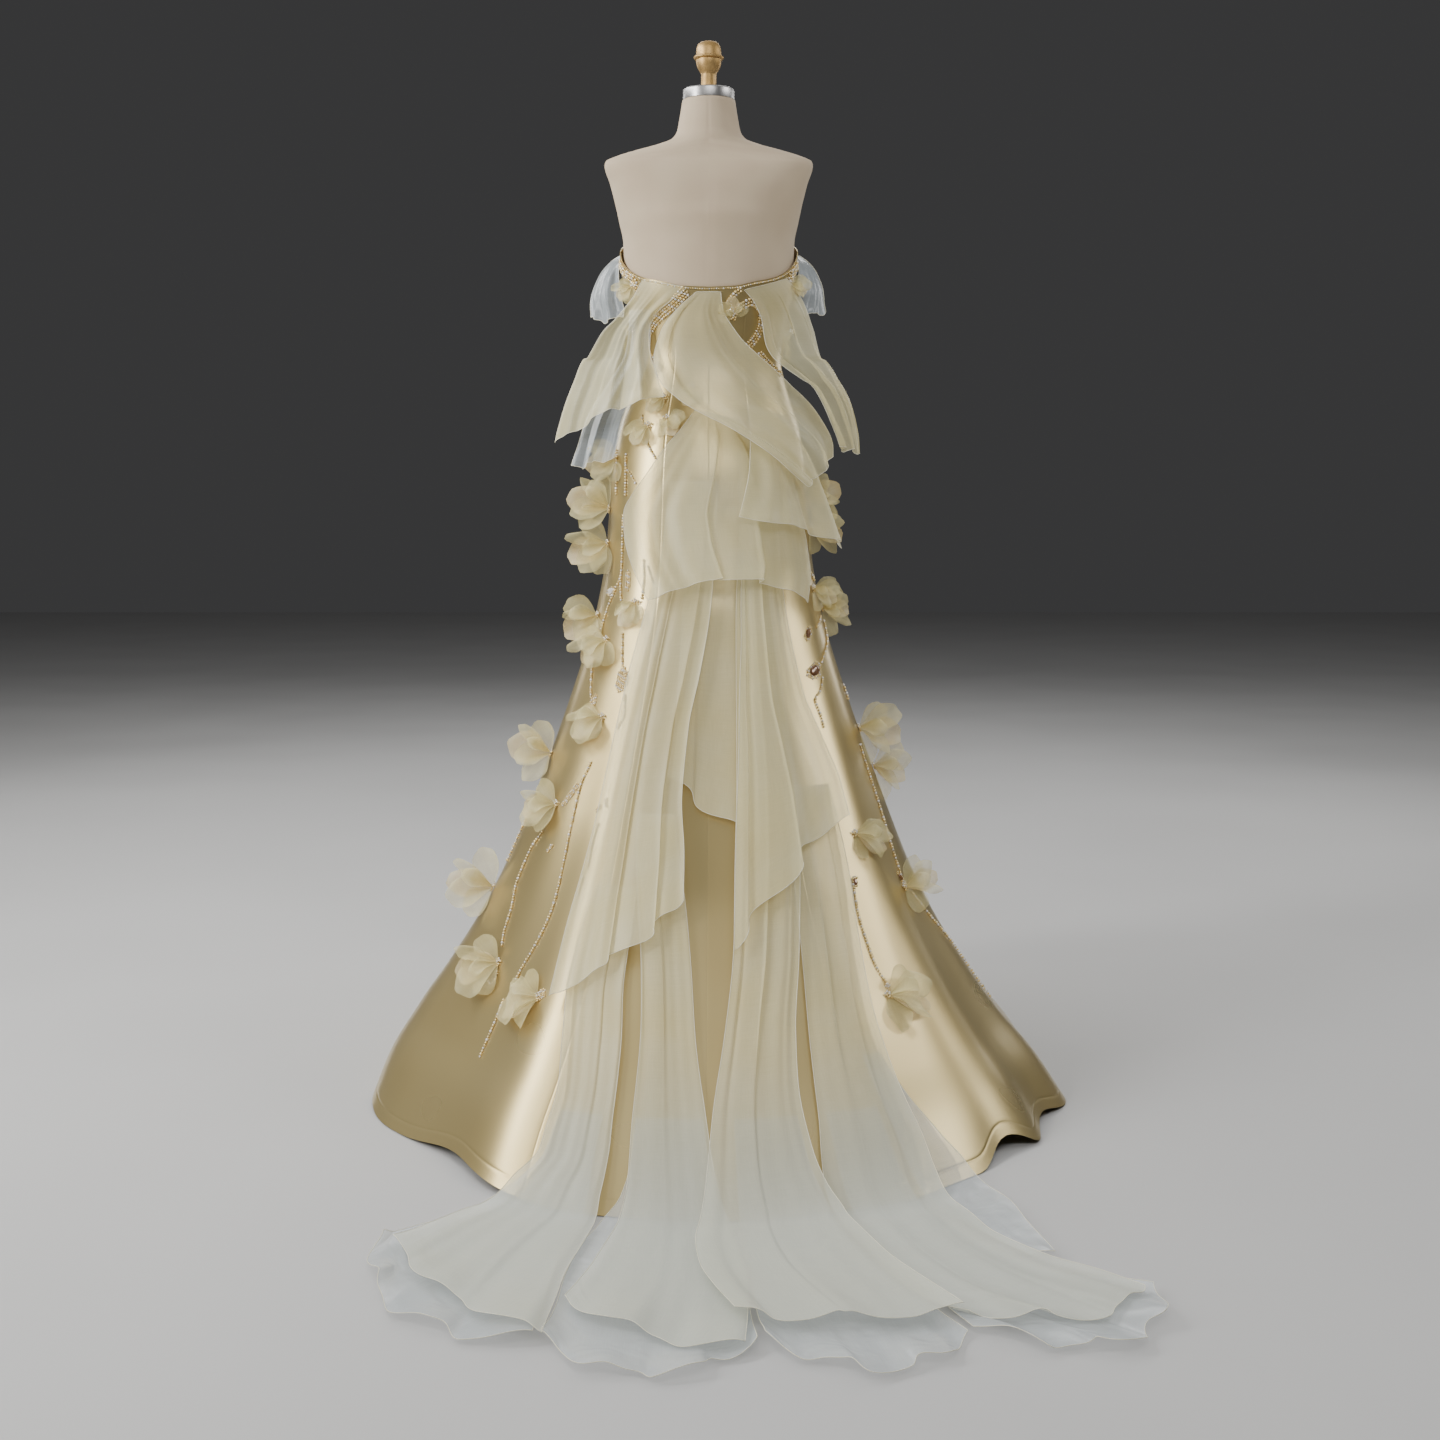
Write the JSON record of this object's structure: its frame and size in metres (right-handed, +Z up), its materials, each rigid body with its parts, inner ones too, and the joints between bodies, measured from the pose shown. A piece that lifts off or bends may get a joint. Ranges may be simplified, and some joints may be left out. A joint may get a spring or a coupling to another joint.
{
  "type": "mermaid gown on a dress form",
  "caption": "Strapless satin mermaid gown with draped organza tiers, a trailing organza train and raised flowers, worn by a limbless dress form on a stand.",
  "frame": {"origin": "centre of the underside of the stand's base, on the floor, on the dress form's upright axis", "axes": "+Z up along the form's axis; -Y towards the open back of the gown and its train; +X to the right seen from behind the gown"},
  "size_m": [1.0837, 1.7086, 1.6838],
  "materials": {
    "satin": "glossy champagne satin",
    "organza": "sheer crisp ivory organza",
    "petal": "pale yellow organza petals",
    "linen": "matte beige linen over a firm form",
    "steel": "brushed",
    "brass": "antique brass",
    "iron": "matte black"
  },
  "bodies": {
    "root": {"bust_ruffle_left": "organza", "bust_ruffle_right": "organza", "flounce_centre": "organza", "flounce_left": "organza", "flounce_middle": "organza", "flounce_right": "organza", "flower_01": "petal", "flower_02": "petal", "flower_03": "petal", "flower_04": "petal", "flower_05": "petal", "flower_06": "petal", "flower_07": "petal", "flower_08": "petal", "flower_09": "petal", "flower_10": "petal", "flower_11": "petal", "flower_12": "petal", "flower_13": "petal", "flower_14": "petal", "flower_15": "petal", "flower_16": "petal", "flower_17": "petal", "flower_18": "petal", "flower_19": "petal", "flower_20": "petal", "flower_21": "petal", "flower_22": "petal", "flower_23": "petal", "flower_24": "petal", "flower_25": "petal", "flower_26": "petal", "flower_27": "petal", "flower_28": "petal", "form_finial": "brass", "form_neck_ring": "steel", "form_torso": "linen", "gore_back_centre_left": "satin", "gore_back_centre_right": "satin", "gore_back_side_left": "satin", "gore_back_side_right": "satin", "gore_front_centre": "satin", "gore_front_side_left": "satin", "gore_front_side_right": "satin", "panel_centre": "organza", "panel_left": "organza", "panel_right": "organza", "stand_base": "iron", "stand_pole": "steel", "swirl": "organza", "tier_left": "organza", "tier_right": "organza", "train_centre": "organza", "train_left": "organza", "train_middle": "organza", "train_right": "organza", "train_right_under": "organza", "wing_left": "organza", "wing_left_under": "organza", "wing_right": "organza"}
  },
  "joints": []
}
